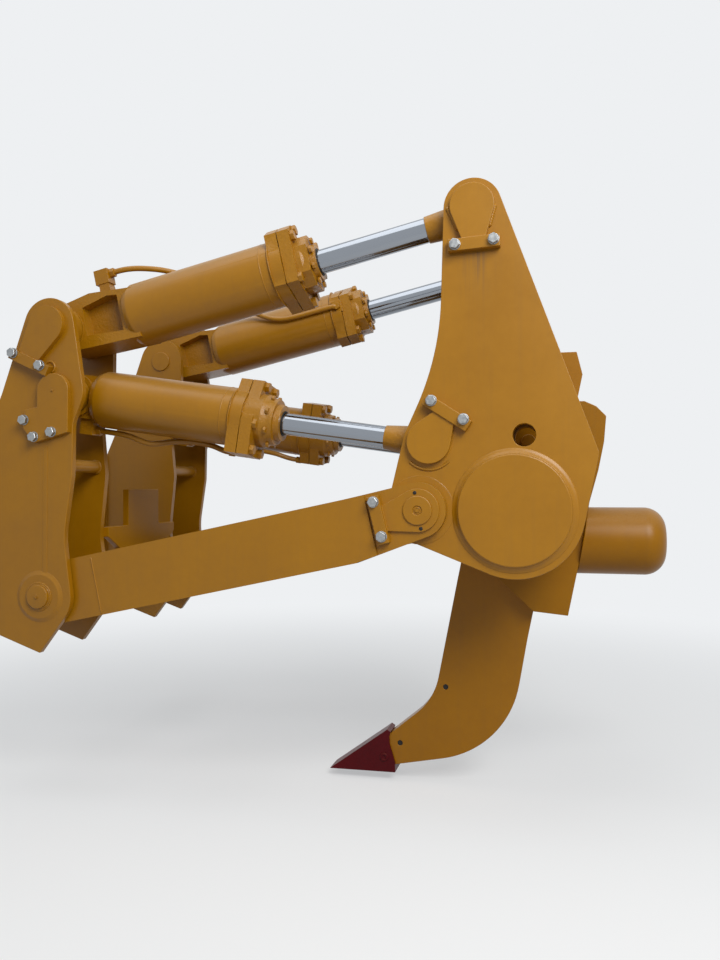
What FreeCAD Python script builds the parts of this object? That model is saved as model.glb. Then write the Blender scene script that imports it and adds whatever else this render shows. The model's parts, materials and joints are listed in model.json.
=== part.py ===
"""Rear parallelogram ripper of a crawler dozer: one shank on a carrier, held by two
link arms and worked by two tilt cylinders and two lift cylinders.

Millimetres. +X points to the rear, away from the tractor, +Y to the right of a driver
who faces forward, +Z up. The origin is on the plane where the brackets bolt to the
tractor, midway between them and at half the height of their mounting plates.
"""
import FreeCAD, Part
import math
import os
import Sketcher
from FreeCAD import Placement, Rotation, Vector

doc = FreeCAD.newDocument("ripper")
sheet = doc.addObject("Spreadsheet::Sheet", "Sizes")

# Driving dimensions, in mm and degrees: name, value
SIZES = (
    # Brackets that bolt to the tractor
    ("mount_plate_thick", 40), ("mount_plate_height", 780), ("mount_plate_side", 28),
    ("mount_bolt_inset", 60), ("mount_bolt_end", 50), ("mount_bolt_bore", 36),
    ("bracket_plate_thick", 30), ("bracket_outer_face", 692), ("bracket_inner_face", 337),
    ("bracket_bottom", 490), ("bracket_waist_in", 29), ("bracket_link_round", 145),
    ("bracket_lift_round", 127), ("bracket_tilt_round", 118), ("link_ring_round", 94),
    ("bracket_lift_neck", 80), ("tie_plate_thick", 30), ("tie_tower_half", 156), ("tie_shoulder", 280),
    ("spacer_bar_round", 28),
    # Places of the three bracket pins
    ("link_pin_x", 330), ("link_pin_z", -250),
    ("tilt_base_x", 36), ("tilt_base_z", 1150), ("lift_base_x", 72), ("lift_base_z", 869),
    # Link arms
    ("link_length", 1656), ("link_angle", 13), ("arm_inner_face", 572), ("arm_thick", 85),
    ("arm_above", 106), ("arm_below", 148), ("arm_below_front", 130), ("arm_eye_round", 108),
    ("arm_eye_thick", 38), ("arm_eye_recess", 14), ("arm_slot_depth", 276),
    ("arm_cheek_end", 193),
    ("arm_boss_round", 100), ("cross_tube_round", 95), ("cross_tube_place", 600),
    # Pins
    ("pin_round", 56), ("base_pin_round", 50), ("rod_pin_round", 48), ("pin_gap", 0.05),
    ("side_gap", 5), ("hub_round", 100), ("hub_tube_round", 138), ("hub_ring_round", 134),
    # Carrier, measured from the pin that joins it to the arms
    ("tilt_rod_x", 207), ("tilt_rod_z", 1175), ("lift_rod_x", 38), ("lift_rod_z", 266),
    ("drum_x", 365), ("drum_round", 216), ("drum_neck_round", 140),
    ("carrier_outer_face", 600), ("carrier_inner_face", 360), ("carrier_plate_thick", 45),
    ("carrier_top_round", 112), ("carrier_lift_round", 103), ("carrier_link_round", 128),
    ("carrier_drum_round", 262), ("carrier_rear_x", 630), ("carrier_rear_z", 215),
    ("drum_cap_proud", 25), ("cap_proud", 26), ("keeper_bar_thick", 34), ("retainer_thick", 12),
    # Shank pocket, push block, shank and tip
    ("shank_lean", 11.6), ("shank_width", 355), ("shank_thick", 90), ("shank_gap", 5),
    ("shank_rear_x", 511), ("shank_top", 686), ("pocket_cheek", 60), ("pocket_front", 60),
    ("push_block_round", 146), ("push_block_end", 976), ("push_block_z", -143),
    ("tip_width", 120), ("shank_pin_round", 32), ("shank_pin_x", 402), ("shank_pin_z", 288), ("access_gap", 12),
    # Cylinders
    ("cylinder_plane", 480), ("tilt_barrel_round", 137), ("lift_barrel_round", 125),
    ("tilt_bore", 100), ("lift_bore", 64),
    ("tilt_rod_round", 50), ("lift_rod_round", 45),
    ("tilt_barrel_start", 291), ("tilt_flange_start", 985), ("tilt_gland_end", 1166),
    ("lift_barrel_start", 85), ("lift_flange_start", 753), ("lift_gland_end", 955),
    ("flange_half", 166), ("flange_side", 123), ("flange_thick", 52.5),
    ("gland_half", 107), ("gland_cut", 52), ("gland_round", 113), ("gland_mouth_round", 75),
    ("gland_neck_round", 96), ("gland_step", 24), ("flange_joint", 4),
    ("base_eye_round", 95), ("tilt_eye_width", 200), ("lift_eye_width", 150),
    ("rod_eye_round", 92), ("rod_eye_width", 130), ("rod_collar_round", 55),
    ("rod_collar_long", 200), ("tilt_piston_long", 60), ("tilt_piston_place", 640),
    ("lift_piston_place", 415), ("lift_piston_long", 20), ("tilt_head_long", 110),
    ("tilt_foot_long", 65), ("lift_head_long", 70), ("lift_foot_long", 30), ("piston_gap", 0.3),
)
for row, (alias, value) in enumerate(SIZES, start=1):
    sheet.set(f"A{row}", alias)
    sheet.set(f"B{row}", str(value))
    sheet.setAlias(f"B{row}", alias)
doc.recompute()


def given(text):
    """An expression in which each size's plain name is read from the sheet."""
    words = sorted((alias for alias, _ in SIZES), key=len, reverse=True)
    out, place = "", 0
    text = str(text)
    while place < len(text):
        here = next((w for w in words if text.startswith(w, place)), None)
        whole = here and (place == 0 or not (text[place - 1].isalnum() or text[place - 1] in "_."))
        if whole:
            end = place + len(here)
            whole = end == len(text) or not (text[end].isalnum() or text[end] == "_")
        if whole:
            out += "Sizes." + here
            place += len(here)
        else:
            out += text[place]
            place += 1
    return out


def number(text):
    """The value of an expression now."""
    return float(sheet.evalExpression(given(text).replace("Sizes.", "")))


# Pin places as expressions: the arms' rear pins, the rods' pins and the cylinders' lines
CARRIER_X = "(link_pin_x + link_length * cos(link_angle))"
CARRIER_Z = "(link_pin_z + link_length * sin(link_angle))"
TILT_X, TILT_Z = "(link_pin_x + tilt_base_x)", "(link_pin_z + tilt_base_z)"
LIFT_X, LIFT_Z = "(link_pin_x + lift_base_x)", "(link_pin_z + lift_base_z)"
TILT_RUN = f"({CARRIER_X} + tilt_rod_x - {TILT_X})"
TILT_RISE = f"({CARRIER_Z} + tilt_rod_z - {TILT_Z})"
LIFT_RUN = f"({CARRIER_X} + lift_rod_x - {LIFT_X})"
LIFT_RISE = f"({CARRIER_Z} + lift_rod_z - {LIFT_Z})"
TILT_LONG = f"sqrt({TILT_RUN} ^ 2 + {TILT_RISE} ^ 2)"
LIFT_LONG = f"sqrt({LIFT_RUN} ^ 2 + {LIFT_RISE} ^ 2)"
ORIGIN = ("0", "0", "0")
LINK = ("link_pin_x", "link_pin_z", "link_angle")
CARRIER = (CARRIER_X, CARRIER_Z, "0")
TILT = (TILT_X, TILT_Z, f"atan({TILT_RISE} / {TILT_RUN})")
LIFT = (LIFT_X, LIFT_Z, f"atan({LIFT_RISE} / {LIFT_RUN})")

SIDES = (("left", -1), ("right", 1))
nodes = {}


def body(label, frame=ORIGIN, side=0):
    """A new body whose own frame stands at a pin: x along the piece, z up."""
    piece = doc.addObject("PartDesign::Body", label)
    piece.Label = label
    x, z, angle = frame
    piece.Placement = Placement(Vector(0, 0, 0), Rotation(Vector(0, -1, 0), 1))
    piece.setExpression(".Placement.Base.x", given(x))
    piece.setExpression(".Placement.Base.z", given(z))
    piece.setExpression(".Placement.Base.y", given(f"{side} * cylinder_plane") if side else "0")
    piece.setExpression(".Placement.Rotation.Angle", given(angle))
    return piece


def tangent(first, last):
    """Where a line leaves one directed circle and meets the next."""
    (x0, z0, s0), (x1, z1, s1) = first, last
    dx, dz = x1 - x0, z1 - z0
    beta = math.atan2(dz, dx) + math.acos((s1 - s0) / math.hypot(dx, dz))
    nx, nz = math.cos(beta), math.sin(beta)
    return (x0 - s0 * nx, z0 - s0 * nz), (x1 - s1 * nx, z1 - s1 * nz)


def sketch(piece, name, outline, at, role="XZ_Plane"):
    """A closed outline in the plane y = at, or x = at. Its rows are x, z, radius and turn:
    a corner has no radius, turn 1 goes round a circle to the left and -1 to the right."""
    flat = piece.newObject("Sketcher::SketchObject", name)
    plane = next(f for f in piece.Origin.OriginFeatures if f.Role == role)
    flat.AttachmentSupport = [(plane, "")]
    flat.MapMode = "FlatFace"
    ahead = at if role == "YZ_Plane" else f"-({at})"
    flat.setExpression(".AttachmentOffset.Base.z", given(ahead))
    rows = [(row + (0, 0))[:4] if len(row) < 4 else row for row in outline]
    circles = [(number(x), number(z), number(r) * turn) for x, z, r, turn in rows]
    count = len(rows)
    if count == 1:
        x, z, radius = circles[0]
        flat.addGeometry(Part.Circle(Vector(x, z, 0), Vector(0, 0, 1), radius))
        place(flat, 0, 3, rows[0])
        bind(flat, flat.addConstraint(Sketcher.Constraint("Radius", 0, radius)), rows[0][2])
        return flat
    joins = [tangent(circles[i], circles[(i + 1) % count]) for i in range(count)]
    for start, end in joins:
        flat.addGeometry(Part.LineSegment(Vector(*start, 0), Vector(*end, 0)))
    for i, (x, z, radius, turn) in enumerate(rows):
        before, after = (i - 1) % count, i
        if not turn:
            flat.addConstraint(Sketcher.Constraint("Coincident", before, 2, after, 1))
            place(flat, after, 1, rows[i])
            continue
        centre = Vector(circles[i][0], circles[i][1], 0)
        arrive, leave = Vector(*joins[before][1], 0), Vector(*joins[after][0], 0)
        ends = (arrive, leave) if turn > 0 else (leave, arrive)
        angles = [math.atan2(p.y - centre.y, p.x - centre.x) for p in ends]
        circle = Part.Circle(centre, Vector(0, 0, 1), abs(circles[i][2]))
        arc = flat.addGeometry(Part.ArcOfCircle(circle, *angles))
        first, last = (1, 2) if turn > 0 else (2, 1)
        flat.addConstraint(Sketcher.Constraint("Tangent", before, 2, arc, first))
        flat.addConstraint(Sketcher.Constraint("Tangent", arc, last, after, 1))
        place(flat, arc, 3, rows[i])
        held = flat.addConstraint(Sketcher.Constraint("Radius", arc, abs(circles[i][2])))
        bind(flat, held, radius)
    return flat


def place(flat, item, point, row):
    """Ties a point of a sketch to the expressions for its x and z."""
    for kind, text in (("DistanceX", row[0]), ("DistanceY", row[1])):
        here = Sketcher.Constraint(kind, -1, 1, item, point, number(text))
        bind(flat, flat.addConstraint(here), text)


def bind(flat, index, text):
    flat.setExpression(f"Constraints[{index}]", given(text))


def pad(piece, name, outline, low, high):
    """Adds an outline's solid between y = low and y = high."""
    solid = piece.newObject("PartDesign::Pad", name)
    solid.Profile = sketch(piece, name + "_outline", outline, high)
    solid.setExpression("Length", given(f"({high}) - ({low})"))
    return solid


def cut(piece, name, outline, low, high):
    """Takes an outline's solid away between y = low and y = high."""
    hollow = piece.newObject("PartDesign::Pocket", name)
    hollow.Profile = sketch(piece, name + "_outline", outline, low)
    hollow.setExpression("Length", given(f"({high}) - ({low})"))
    return hollow


def turned(piece, name, profile, takes=False):
    """Turns a half section, rows of x and radius, about the body's own x axis."""
    kind = "PartDesign::Groove" if takes else "PartDesign::Revolution"
    solid = piece.newObject(kind, name)
    flat = sketch(piece, name + "_section", profile, "0")
    solid.Profile = flat
    solid.ReferenceAxis = (flat, ["H_Axis"])
    solid.Angle = 360
    return solid


def circle(x, z, radius):
    return ((x, z, radius, 1),)


def box(x0, x1, z0, z1):
    return ((x0, z0), (x1, z0), (x1, z1), (x0, z1))


def span(side, low, high):
    """The y range of a piece that lies from low to high on one side."""
    return (low, high) if side > 0 else (f"-({high})", f"-({low})")


def keep(label, solid):
    solid.Label = label
    nodes[label] = solid
    return solid


def group(label, solids):
    """Like pieces of one body, as one node of solids that don't touch."""
    bundle = doc.addObject("Part::Compound", label)
    bundle.Links = solids
    return keep(label, bundle)


OUTER_LOW = "bracket_outer_face - bracket_plate_thick"
INNER_HIGH = "bracket_inner_face + bracket_plate_thick"
CARRIER_OUTER_LOW = "carrier_outer_face - carrier_plate_thick"
CARRIER_INNER_HIGH = "carrier_inner_face + carrier_plate_thick"
# The bracket's rear edge where it is narrowest
WAIST_X = "(link_pin_x + bracket_link_round - bracket_waist_in)"


# The cylinders' base pins: name, x, z, width of the eye and radius of the bosses beside it
BOSSES = (
    ("tilt", TILT_X, TILT_Z, "tilt_eye_width", "base_eye_round"),
    ("lift", LIFT_X, LIFT_Z, "lift_eye_width", "bracket_lift_neck"),
)


def bracket_outline(wall):
    """Round at each pin and waisted between them, the inner plate more than the outer."""
    front = "mount_plate_thick"
    rear = {
        "outer": (
            (f"{WAIST_X} + 400", "link_pin_z + 250", "400", -1),
            (f"{WAIST_X} - 66", "link_pin_z + 520", "100", 1),
            (f"{WAIST_X} + 142", "link_pin_z + 715", "105", -1),
            (LIFT_X, LIFT_Z, "bracket_lift_round", 1),
        ),
        "inner": (
            (f"{WAIST_X} + 345", "link_pin_z + 250", "370", -1),
            (f"{WAIST_X} - 100", "link_pin_z + 520", "100", 1),
            (f"{WAIST_X} + 45", "link_pin_z + 747", "65", -1),
            (LIFT_X, LIFT_Z, "bracket_lift_neck", 1),
        ),
    }
    return (
        (TILT_X, TILT_Z, "bracket_tilt_round", 1),
        (f"{TILT_X} - 227", f"{TILT_Z} - 286"),
        (front, "mount_plate_height / 2"),
        (front, "-mount_plate_height / 2"),
        ("link_pin_x", "-bracket_bottom"),
        ("link_pin_x", "link_pin_z", "bracket_link_round", 1),
    ) + rear[wall]


def mount_plates():
    """Thick plates, one for each bracket, with two rows of bolt holes."""
    for name, side in SIDES:
        piece = body(f"mount_plate_{name}")
        low = "bracket_inner_face - mount_plate_side"
        high = "bracket_outer_face + mount_plate_side"
        half = "mount_plate_height / 2"
        pad(piece, f"mount_slab_{name}", box("0", "mount_plate_thick", f"-{half}", half),
            *span(side, low, high))
        rows = (("inner", f"{side} * ({INNER_HIGH} + mount_bolt_inset)"),
                ("outer", f"{side} * ({OUTER_LOW} - mount_bolt_inset)"))
        levels = (("top", f"({half} - mount_bolt_end)"), ("upper", f"({half} - mount_bolt_end) / 3"),
                  ("lower", f"-({half} - mount_bolt_end) / 3"), ("low", f"-({half} - mount_bolt_end)"))
        for row, y in rows:
            for level, z in levels:
                hole = piece.newObject("PartDesign::Pocket", f"bolt_hole_{row}_{level}_{name}")
                hole.Profile = sketch(piece, f"bolt_{row}_{level}_{name}",
                                      circle(y, z, "mount_bolt_bore / 2"),
                                      "mount_plate_thick", "YZ_Plane")
                hole.setExpression("Length", given("mount_plate_thick"))
        keep(f"mount_plate_{name}", piece)


def brackets():
    """Two flame-cut plates on each side, with thrust bosses and a spacer bar between."""
    bars = []
    for name, side in SIDES:
        outer = body(f"bracket_outer_{name}")
        pad(outer, f"outer_plate_{name}", bracket_outline("outer"),
            *span(side, OUTER_LOW, "bracket_outer_face"))
        for pin, x, z, width, radius in BOSSES:
            pad(outer, f"{pin}_boss_{name}", circle(x, z, radius),
                *span(side, f"cylinder_plane + {width} / 2 + side_gap", OUTER_LOW))
        pad(outer, f"link_ring_{name}", circle("link_pin_x", "link_pin_z", "link_ring_round"),
            *span(side, "bracket_outer_face - 5", "bracket_outer_face + 8"))
        bores(outer, f"outer_{name}", side, "arm_inner_face - 100", "bracket_outer_face + 9")
        keep(f"bracket_outer_{name}", outer)
        inner = body(f"bracket_inner_{name}")
        pad(inner, f"inner_plate_{name}", bracket_outline("inner"),
            *span(side, "bracket_inner_face", INNER_HIGH))
        for pin, x, z, width, radius in BOSSES:
            pad(inner, f"{pin}_inner_boss_{name}", circle(x, z, radius),
                *span(side, INNER_HIGH, f"cylinder_plane - {width} / 2 - side_gap"))
        bores(inner, f"inner_{name}", side, "bracket_inner_face - 1", "cylinder_plane - 60")
        keep(f"bracket_inner_{name}", inner)
        bar = body(f"spacer_bar_{name}")
        pad(bar, f"spacer_round_{name}",
            circle(f"{WAIST_X} - 48", "link_pin_z + 557", "spacer_bar_round"),
            *span(side, INNER_HIGH, OUTER_LOW))
        bars.append(bar)
    group("bracket_spacers", bars)


def bores(piece, name, side, low, high):
    """The three pin bores of a bracket plate."""
    for pin, x, z, radius in (("link", "link_pin_x", "link_pin_z", "pin_round"),
                              ("lift", LIFT_X, LIFT_Z, "base_pin_round"),
                              ("tilt", TILT_X, TILT_Z, "base_pin_round + pin_gap")):
        cut(piece, f"{pin}_bore_{name}", circle(x, z, radius), *span(side, low, high))


def tie_plate():
    """The cross plate between the inner bracket plates, with its tower."""
    piece = body("tie_plate")
    half, tower, shoulder = "bracket_inner_face", "tie_tower_half", "(link_pin_z + tie_shoulder)"
    end_plate(piece, "tie_slab", (
        (f"-{half}", shoulder), (f"-{half}", f"{shoulder} - 45"),
        (f"-{half} + 110", f"{shoulder} - 105"), (f"-{half} + 110", "link_pin_z - 60"),
        (f"{half} - 110", "link_pin_z - 60"), (f"{half} - 110", f"{shoulder} - 105"),
        (half, f"{shoulder} - 45"), (half, shoulder), (tower, shoulder),
        (tower, f"{shoulder} + 176"), (f"-{tower}", f"{shoulder} + 176"), (f"-{tower}", shoulder),
    ), f"{WAIST_X} - tie_plate_thick", "tie_plate_thick")
    keep("tie_plate", piece)


def bracket_pins():
    """Link pins and lift pins stay in the brackets; tilt pins turn with the cylinders."""
    links, lifts = [], []
    for name, side in SIDES:
        link = body(f"link_pin_{name}")
        pad(link, f"link_pin_bar_{name}", circle("link_pin_x", "link_pin_z", "pin_round"),
            *span(side, "bracket_inner_face - 8", "bracket_outer_face + 14"))
        links.append(link)
        lift = body(f"lift_base_pin_{name}")
        pad(lift, f"lift_base_bar_{name}", circle(LIFT_X, LIFT_Z, "base_pin_round"),
            *span(side, "bracket_inner_face - 8", "bracket_outer_face"))
        lifts.append(lift)
        tilt = body(f"tilt_base_pin_{name}")
        pad(tilt, f"tilt_base_bar_{name}", circle(TILT_X, TILT_Z, "base_pin_round"),
            *span(side, "bracket_inner_face - 8", "bracket_outer_face - 1"))
        keep(f"tilt_base_pin_{name}", tilt)
    group("link_pins", links)
    group("lift_base_pins", lifts)


def offset(x, z, angle, ahead, aside):
    """The point that lies ahead along an angle and aside to its left."""
    ux, uz = f"cos({angle})", f"sin({angle})"
    return (f"{x} + ({ahead}) * {ux} - ({aside}) * {uz}", f"{z} + ({ahead}) * {uz} + ({aside}) * {ux}")


def teardrop(x, z, radius, angle, reach, width):
    """A round cap that narrows to a straight foot."""
    return ((x, z, radius, 1), offset(x, z, angle, reach, f"-({width}) / 2"),
            offset(x, z, angle, reach, f"({width}) / 2"))


def bar(x, z, angle, reach, long, wide, aside="0"):
    """A straight keeper bar across the end of a cap's foot."""
    near, far = f"{reach} - ({wide}) / 2", f"{reach} + ({wide}) / 2"
    left, right = f"{aside} + ({long}) / 2", f"{aside} - ({long}) / 2"
    return (offset(x, z, angle, near, right), offset(x, z, angle, far, right),
            offset(x, z, angle, far, left), offset(x, z, angle, near, left))


def bracket_caps():
    """Bolted covers over the tilt pins and the lift pins."""
    caps = []
    for name, side in SIDES:
        low, high = "bracket_outer_face", "bracket_outer_face + cap_proud"
        cap = body(f"tilt_cap_{name}")
        pad(cap, f"tilt_cap_plate_{name}", teardrop(TILT_X, TILT_Z, "80", "238", "158", "100"),
            *span(side, low, high))
        pad(cap, f"tilt_cap_bar_{name}", bar(TILT_X, TILT_Z, "245", "174", "196", "44"),
            *span(side, low, f"{low} + keeper_bar_thick"))
        caps.append(cap)
        cap = body(f"lift_cap_{name}")
        pad(cap, f"lift_cap_plate_{name}", (
            (LIFT_X, LIFT_Z, "76", 1),
            (f"{LIFT_X} - 152", f"{LIFT_Z} - 62"), (f"{LIFT_X} - 148", f"{LIFT_Z} - 128"),
            (f"{LIFT_X} - 128", f"{LIFT_Z} - 188"), (f"{LIFT_X} - 48", f"{LIFT_Z} - 226"),
            (f"{LIFT_X} + 74", f"{LIFT_Z} - 180"),
        ), *span(side, low, high))
        caps.append(cap)
    group("bracket_pin_caps", caps)


def link_arms():
    """Boxed arms that narrow to an eye outside the carrier; a tube joins them."""
    low, high = "arm_inner_face", "arm_inner_face + arm_thick"
    box_end = "link_length - arm_slot_depth"
    for name, side in SIDES:
        arm = body(f"link_arm_{name}", LINK)
        pad(arm, f"arm_box_{name}", (
            ("0", "0", "arm_below_front", 1),
            (box_end, "-arm_below"),
            (box_end, "arm_above"),
        ), *span(side, low, high))
        eye_high = "arm_inner_face + arm_thick - arm_eye_recess"
        pad(arm, f"arm_eye_{name}", (
            (box_end, "-arm_below"),
            ("link_length", "0", "arm_eye_round", 1),
            (box_end, "arm_above"),
        ), *span(side, f"{eye_high} - arm_eye_thick", eye_high))
        pad(arm, f"arm_cheek_{name}", (
            (f"{box_end} - 20", "-arm_below"),
            ("link_length - arm_cheek_end", "-arm_below * 0.92"),
            ("link_length - arm_cheek_end", "arm_above"),
            (f"{box_end} - 20", "arm_above"),
        ), *span(side, f"{eye_high} - 1", high))
        pad(arm, f"arm_boss_{name}", circle("0", "0", "arm_boss_round"),
            *span(side, f"{INNER_HIGH} + side_gap", high))
        cut(arm, f"arm_front_bore_{name}", circle("0", "0", "pin_round + pin_gap"),
            *span(side, INNER_HIGH, f"{high} + 1"))
        cut(arm, f"arm_rear_bore_{name}", circle("link_length", "0", "pin_round"),
            *span(side, low, f"{high} + 1"))
        keep(f"link_arm_{name}", arm)
    tube = body("link_cross_tube", LINK)
    pad(tube, "cross_tube_bar", circle("cross_tube_place", "0", "cross_tube_round"),
        "-arm_inner_face", "arm_inner_face")
    keep("link_cross_tube", tube)


def carrier_pins():
    """Pins held by the arms' eyes, and the hubs that the carrier turns on."""
    pins, hubs, keepers = [], [], []
    eye = "arm_inner_face + arm_thick - arm_eye_recess"
    for name, side in SIDES:
        pin = body(f"carrier_pin_{name}", CARRIER)
        pad(pin, f"carrier_pin_bar_{name}", circle("0", "0", "pin_round"),
            *span(side, CARRIER_OUTER_LOW, "arm_inner_face + arm_thick"))
        pins.append(pin)
        keeper = body(f"arm_keeper_{name}", CARRIER)
        pad(keeper, f"arm_retainer_{name}", teardrop("0", "0", "84", "194", "140", "96"),
            *span(side, eye, f"{eye} + retainer_thick"))
        pad(keeper, f"arm_keeper_bar_{name}", bar("0", "0", "194", "156", "190", "48"),
            *span(side, eye, f"{eye} + keeper_bar_thick"))
        cut(keeper, f"arm_keeper_hole_{name}", circle("0", "0", "pin_round"),
            *span(side, eye, f"{eye} + keeper_bar_thick"))
        keepers.append(keeper)
        hub = body(f"inner_hub_{name}", CARRIER)
        tube_end = "carrier_inner_face - side_gap"
        pad(hub, f"hub_tube_{name}", circle("0", "0", "hub_tube_round"),
            *span(side, "shank_thick / 2 + shank_gap + pocket_cheek + 10", tube_end))
        pad(hub, f"hub_neck_{name}", circle("0", "0", "hub_round"),
            *span(side, tube_end, CARRIER_INNER_HIGH))
        ring = body(f"outer_hub_{name}", CARRIER)
        pad(ring, f"hub_wall_{name}", circle("0", "0", "hub_round"),
            *span(side, CARRIER_OUTER_LOW, "carrier_outer_face"))
        cut(ring, f"hub_bore_{name}", circle("0", "0", "pin_round + pin_gap"),
            *span(side, CARRIER_OUTER_LOW, "carrier_outer_face"))
        hubs += [hub, ring]
    group("carrier_pins", pins)
    group("arm_keepers", keepers)
    group("carrier_hubs", hubs)


def carrier_outline():
    """Tall tapered plate: round at the rods' pins, the arms' pin and the drum."""
    return (
        ("tilt_rod_x", "tilt_rod_z", "carrier_top_round", 1),
        ("tilt_rod_x - 1197", "tilt_rod_z - 325", "1075", -1),
        ("lift_rod_x", "lift_rod_z", "carrier_lift_round", 1),
        ("0", "0", "carrier_link_round", 1),
        ("drum_x", "0", "carrier_drum_round", 1),
        ("carrier_rear_x", "carrier_rear_z", "45", 1),
    )


def carrier_plates():
    """An outer and an inner plate on each side, with a web along their rear edge."""
    webs = []
    for name, side in SIDES:
        for wall, low, high in (("outer", CARRIER_OUTER_LOW, "carrier_outer_face"),
                                ("inner", "carrier_inner_face", CARRIER_INNER_HIGH)):
            plate = body(f"carrier_{wall}_{name}", CARRIER)
            y_range = span(side, low, high)
            pad(plate, f"{wall}_side_{name}", carrier_outline(), *y_range)
            drum = "drum_round" if wall == "inner" else "drum_neck_round"
            holes = [("link", "0", "0", "hub_round + pin_gap"),
                     ("drum", "drum_x", "0", drum),
                     ("tilt", "tilt_rod_x", "tilt_rod_z", "rod_pin_round"),
                     ("lift", "lift_rod_x", "lift_rod_z", "rod_pin_round"),
                     ("access", "shank_pin_x", "shank_pin_z", "shank_pin_round + access_gap")]
            if wall == "outer":
                pad(plate, f"hub_ring_{name}", circle("0", "0", "hub_ring_round"),
                    *span(side, low, f"{high} + 2"))
            for hole, x, z, radius in holes:
                cut(plate, f"{hole}_hole_{wall}_{name}", circle(x, z, radius),
                    *span(side, low, f"{high} + 2"))
            keep(f"carrier_{wall}_{name}", plate)
        web = body(f"carrier_web_{name}", CARRIER)
        pad(web, f"web_plate_{name}", (
            ("carrier_rear_x - 60", "carrier_rear_z + 110"),
            ("carrier_rear_x - 25", "carrier_rear_z + 110"),
            ("tilt_rod_x + 182", "tilt_rod_z - 280"),
            ("tilt_rod_x + 147", "tilt_rod_z - 280"),
        ), *span(side, CARRIER_INNER_HIGH, CARRIER_OUTER_LOW))
        webs.append(web)
    group("carrier_webs", webs)


def drums():
    """The cross tube: full size inside the inner plates, a neck between the plates,
    and a cap outside."""
    halves = []
    for name, side in SIDES:
        half = body(f"drum_{name}", CARRIER)
        pad(half, f"drum_tube_{name}", circle("drum_x", "0", "drum_round"),
            *span(side, "shank_thick / 2 + shank_gap + pocket_cheek", CARRIER_INNER_HIGH))
        pad(half, f"drum_neck_{name}", circle("drum_x", "0", "drum_neck_round"),
            *span(side, CARRIER_INNER_HIGH, "carrier_outer_face"))
        pad(half, f"drum_cap_{name}", circle("drum_x", "0", "drum_round"),
            *span(side, "carrier_outer_face", "carrier_outer_face + drum_cap_proud"))
        halves.append(half)
    group("drum", halves)


def rod_caps():
    """Covers with spigots in the outer plates and pin ends in the inner plates."""
    caps = []
    for name, side in SIDES:
        low, high = "carrier_outer_face", "carrier_outer_face + cap_proud"
        for pin, angle, reach, foot in (("tilt", "273", "128", "94"), ("lift", "57", "110", "92")):
            x, z = f"{pin}_rod_x", f"{pin}_rod_z"
            cap = body(f"{pin}_rod_cap_{name}", CARRIER)
            pad(cap, f"{pin}_rod_cover_{name}", teardrop(x, z, "86", angle, reach, foot),
                *span(side, low, high))
            pad(cap, f"{pin}_rod_bar_{name}", bar(x, z, angle, f"{reach} + 22", "200", "48"),
                *span(side, low, f"{low} + keeper_bar_thick"))
            pad(cap, f"{pin}_rod_spigot_{name}", circle(x, z, "rod_pin_round"),
                *span(side, CARRIER_OUTER_LOW, "carrier_outer_face"))
            end = body(f"{pin}_rod_end_{name}", CARRIER)
            pad(end, f"{pin}_rod_plug_{name}", circle(x, z, "rod_pin_round"),
                *span(side, "carrier_inner_face - 10", CARRIER_INNER_HIGH))
            caps += [cap, end]
    group("carrier_pin_caps", caps)


# The shank's rear edge leans: its x at a height measured from the carrier's pin
REAR_AT = "(shank_rear_x + ({z}) * tan(shank_lean))"
SHANK_ACROSS = "(shank_width / cos(shank_lean))"


def rear_at(z):
    return REAR_AT.format(z=z)


def shank_pocket():
    """A box of thick cheeks round the shank, with walls before and behind it."""
    piece = body("shank_pocket", CARRIER)
    half = "shank_thick / 2 + shank_gap + pocket_cheek"
    front = f"{SHANK_ACROSS} + pocket_front"
    pad(piece, "pocket_block", (
        (f"{rear_at('462')} - ({front})", "462"),
        (f"{rear_at('-120')} - ({front})", "-120"),
        (rear_at("-450"), "-450"),
        (f"{rear_at('-464')} + 150", "-464"),
        (f"{rear_at('-258')} + 150", "-258"),
        ("657", "28"), ("694", "164"), ("718", "286"), ("727", "396"), ("686", "439"), ("637", "462"),
    ), f"-({half})", half)
    gap = "shank_gap"
    cut(piece, "pocket_slot", (
        (f"{rear_at('-500')} - {SHANK_ACROSS} - {gap}", "-500"),
        (f"{rear_at('-500')} + {gap}", "-500"),
        (f"{rear_at('500')} + {gap}", "500"),
        (f"{rear_at('500')} - {SHANK_ACROSS} - {gap}", "500"),
    ), f"-(shank_thick / 2 + {gap})", f"shank_thick / 2 + {gap}")
    cut(piece, "pocket_pin_bore", circle("shank_pin_x", "shank_pin_z", "shank_pin_round"),
        f"-({half}) - 1", f"{half} + 1")
    keep("shank_pocket", piece)


def push_block():
    """A round-ended bar on the pocket's rear wall, for another tractor to push on."""
    bar = body("push_bar", (f"({CARRIER_X} + push_block_end)", f"({CARRIER_Z} + push_block_z)", "0"))
    long = "(push_block_end - 500)"
    turned(bar, "push_bar_round", (
        (f"-{long}", "0"), ("0", "0"), ("-90", "push_block_round - 90", "90", 1),
        (f"-{long}", "push_block_round"),
    ))
    wedge = body("push_bar_trim", CARRIER)
    half = "push_block_round + 10"
    pad(wedge, "push_trim", (
        ("0", "-464"), (f"{rear_at('-464')} + 150", "-464"), (f"{rear_at('-258')} + 150", "-258"),
        ("657", "28"), ("657", "200"), ("0", "200"),
    ), f"-({half})", half)
    block = doc.addObject("Part::Cut", "push_block")
    block.Base, block.Tool = bar, wedge
    keep("push_block", block)


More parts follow.
